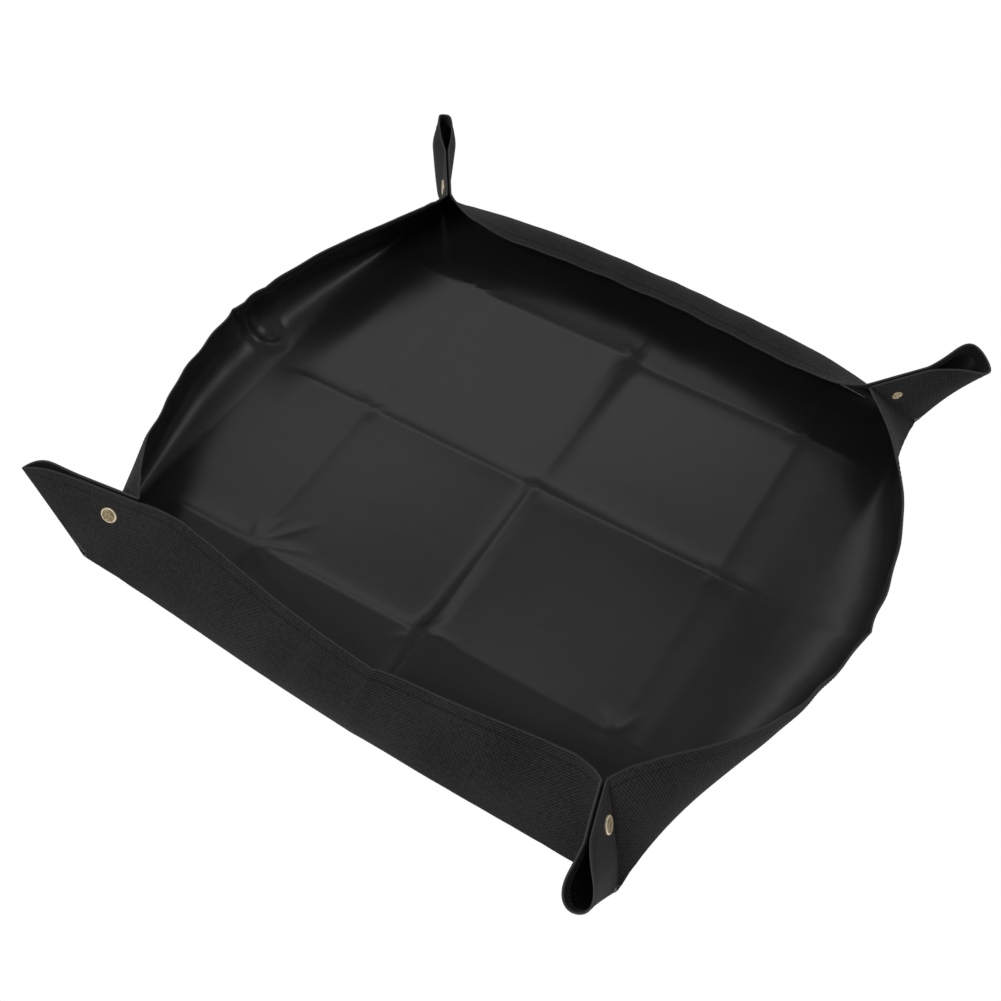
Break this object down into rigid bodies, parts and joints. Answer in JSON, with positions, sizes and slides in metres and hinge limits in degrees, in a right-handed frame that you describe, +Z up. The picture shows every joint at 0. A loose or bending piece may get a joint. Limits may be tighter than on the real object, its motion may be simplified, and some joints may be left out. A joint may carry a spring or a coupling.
{
  "type": "folding potting tray",
  "caption": "Square mat of lined black cloth with a stitched hem, its corners snapped into ears so that it stands as a shallow tray and opens out flat.",
  "frame": {"origin": "middle of the floor's underside", "axes": "+Z up out of the tray, -Y to the front wall, +X to the right wall"},
  "size_m": [0.6295, 0.6342, 0.0827],
  "materials": {
    "outer_cloth": "woven, matte",
    "liner_film": "smooth film with a soft sheen",
    "hem_cloth": "woven, turned and stitched",
    "snap_metal": "antique, satin"
  },
  "bodies": {
    "floor": {"floor_cloth": "outer_cloth", "floor_film": "liner_film"},
    "front_wall": {"front_wall_cloth": "outer_cloth", "front_wall_film": "liner_film", "front_wall_hem": "hem_cloth"},
    "right_wall": {"right_wall_cloth": "outer_cloth", "right_wall_film": "liner_film", "right_wall_hem": "hem_cloth"},
    "back_wall": {"back_wall_cloth": "outer_cloth", "back_wall_film": "liner_film", "back_wall_hem": "hem_cloth"},
    "left_wall": {"left_wall_cloth": "outer_cloth", "left_wall_film": "liner_film", "left_wall_hem": "hem_cloth"},
    "front_left_cap_leaf": {"front_left_cap_leaf_cloth": "outer_cloth", "front_left_cap_leaf_film": "liner_film", "front_left_cap_leaf_hem": "hem_cloth", "front_left_cap": "snap_metal", "front_left_socket": "snap_metal"},
    "front_left_stud_leaf": {"front_left_stud_leaf_cloth": "outer_cloth", "front_left_stud_leaf_film": "liner_film", "front_left_stud_leaf_hem": "hem_cloth", "front_left_stud": "snap_metal", "front_left_post": "snap_metal"},
    "front_right_cap_leaf": {"front_right_cap_leaf_cloth": "outer_cloth", "front_right_cap_leaf_film": "liner_film", "front_right_cap_leaf_hem": "hem_cloth", "front_right_cap": "snap_metal", "front_right_socket": "snap_metal"},
    "front_right_stud_leaf": {"front_right_stud_leaf_cloth": "outer_cloth", "front_right_stud_leaf_film": "liner_film", "front_right_stud_leaf_hem": "hem_cloth", "front_right_stud": "snap_metal", "front_right_post": "snap_metal"},
    "back_right_cap_leaf": {"back_right_cap_leaf_cloth": "outer_cloth", "back_right_cap_leaf_film": "liner_film", "back_right_cap_leaf_hem": "hem_cloth", "back_right_cap": "snap_metal", "back_right_socket": "snap_metal"},
    "back_right_stud_leaf": {"back_right_stud_leaf_cloth": "outer_cloth", "back_right_stud_leaf_film": "liner_film", "back_right_stud_leaf_hem": "hem_cloth", "back_right_stud": "snap_metal", "back_right_post": "snap_metal"},
    "back_left_cap_leaf": {"back_left_cap_leaf_cloth": "outer_cloth", "back_left_cap_leaf_film": "liner_film", "back_left_cap_leaf_hem": "hem_cloth", "back_left_cap": "snap_metal", "back_left_socket": "snap_metal"},
    "back_left_stud_leaf": {"back_left_stud_leaf_cloth": "outer_cloth", "back_left_stud_leaf_film": "liner_film", "back_left_stud_leaf_hem": "hem_cloth", "back_left_stud": "snap_metal", "back_left_post": "snap_metal"}
  },
  "joints": [
    {"name": "front_wall_fold", "type": "hinge", "parent": "floor", "child": "front_wall", "pos_m": [0, -0.265, 0.0003], "axis": [1, 0, 0], "range_deg": [0, 122.23]},
    {"name": "right_wall_fold", "type": "hinge", "parent": "floor", "child": "right_wall", "pos_m": [0.265, 0, 0.0003], "axis": [0, 1, 0], "range_deg": [0, 122.23]},
    {"name": "back_wall_fold", "type": "hinge", "parent": "floor", "child": "back_wall", "pos_m": [0, 0.265, 0.0003], "axis": [-1, 0, 0], "range_deg": [0, 122.23]},
    {"name": "left_wall_fold", "type": "hinge", "parent": "floor", "child": "left_wall", "pos_m": [-0.265, 0, 0.0003], "axis": [0, -1, 0], "range_deg": [0, 122.23]},
    {"name": "front_left_cap_leaf_fold", "type": "hinge", "parent": "front_wall", "child": "front_left_cap_leaf", "pos_m": [-0.2611, -0.265, 0.0003], "axis": [-0.4706, -0.4706, -0.7464], "range_deg": [0, 16.28]},
    {"name": "front_left_stud_leaf_fold", "type": "hinge", "parent": "left_wall", "child": "front_left_stud_leaf", "pos_m": [-0.265, -0.2611, 0.0003], "axis": [0.4706, 0.4706, 0.7464], "range_deg": [0, 90.28]},
    {"name": "front_right_cap_leaf_fold", "type": "hinge", "parent": "right_wall", "child": "front_right_cap_leaf", "pos_m": [0.265, -0.26133, 0.0003], "axis": [0.4706, -0.4706, -0.7464], "range_deg": [0, 21.28]},
    {"name": "front_right_stud_leaf_fold", "type": "hinge", "parent": "front_wall", "child": "front_right_stud_leaf", "pos_m": [0.26133, -0.265, 0.0003], "axis": [-0.4706, 0.4706, 0.7464], "range_deg": [0, 85.28]},
    {"name": "back_right_cap_leaf_fold", "type": "hinge", "parent": "back_wall", "child": "back_right_cap_leaf", "pos_m": [0.26189, 0.265, 0.0003], "axis": [0.4706, 0.4706, -0.7464], "range_deg": [0, 51.28]},
    {"name": "back_right_stud_leaf_fold", "type": "hinge", "parent": "right_wall", "child": "back_right_stud_leaf", "pos_m": [0.265, 0.26189, 0.0003], "axis": [-0.4706, -0.4706, 0.7464], "range_deg": [0, 55.28]},
    {"name": "back_left_cap_leaf_fold", "type": "hinge", "parent": "left_wall", "child": "back_left_cap_leaf", "pos_m": [-0.265, 0.26185, 0.0003], "axis": [-0.4706, 0.4706, -0.7464], "range_deg": [0, 44.28]},
    {"name": "back_left_stud_leaf_fold", "type": "hinge", "parent": "back_wall", "child": "back_left_stud_leaf", "pos_m": [-0.26185, 0.265, 0.0003], "axis": [0.4706, -0.4706, 0.7464], "range_deg": [0, 62.28]}
  ],
  "couplings": [
    {"joint": "right_wall_fold", "follows": "front_wall_fold", "ratio": 1},
    {"joint": "back_wall_fold", "follows": "front_wall_fold", "ratio": 1},
    {"joint": "left_wall_fold", "follows": "front_wall_fold", "ratio": 1},
    {"joint": "front_left_cap_leaf_fold", "follows": "front_wall_fold", "ratio": 0.13305},
    {"joint": "front_left_stud_leaf_fold", "follows": "front_wall_fold", "ratio": 0.73846},
    {"joint": "front_right_cap_leaf_fold", "follows": "front_wall_fold", "ratio": 0.17396},
    {"joint": "front_right_stud_leaf_fold", "follows": "front_wall_fold", "ratio": 0.69756},
    {"joint": "back_right_cap_leaf_fold", "follows": "front_wall_fold", "ratio": 0.41939},
    {"joint": "back_right_stud_leaf_fold", "follows": "front_wall_fold", "ratio": 0.45212},
    {"joint": "back_left_cap_leaf_fold", "follows": "front_wall_fold", "ratio": 0.36212},
    {"joint": "back_left_stud_leaf_fold", "follows": "front_wall_fold", "ratio": 0.50939}
  ]
}
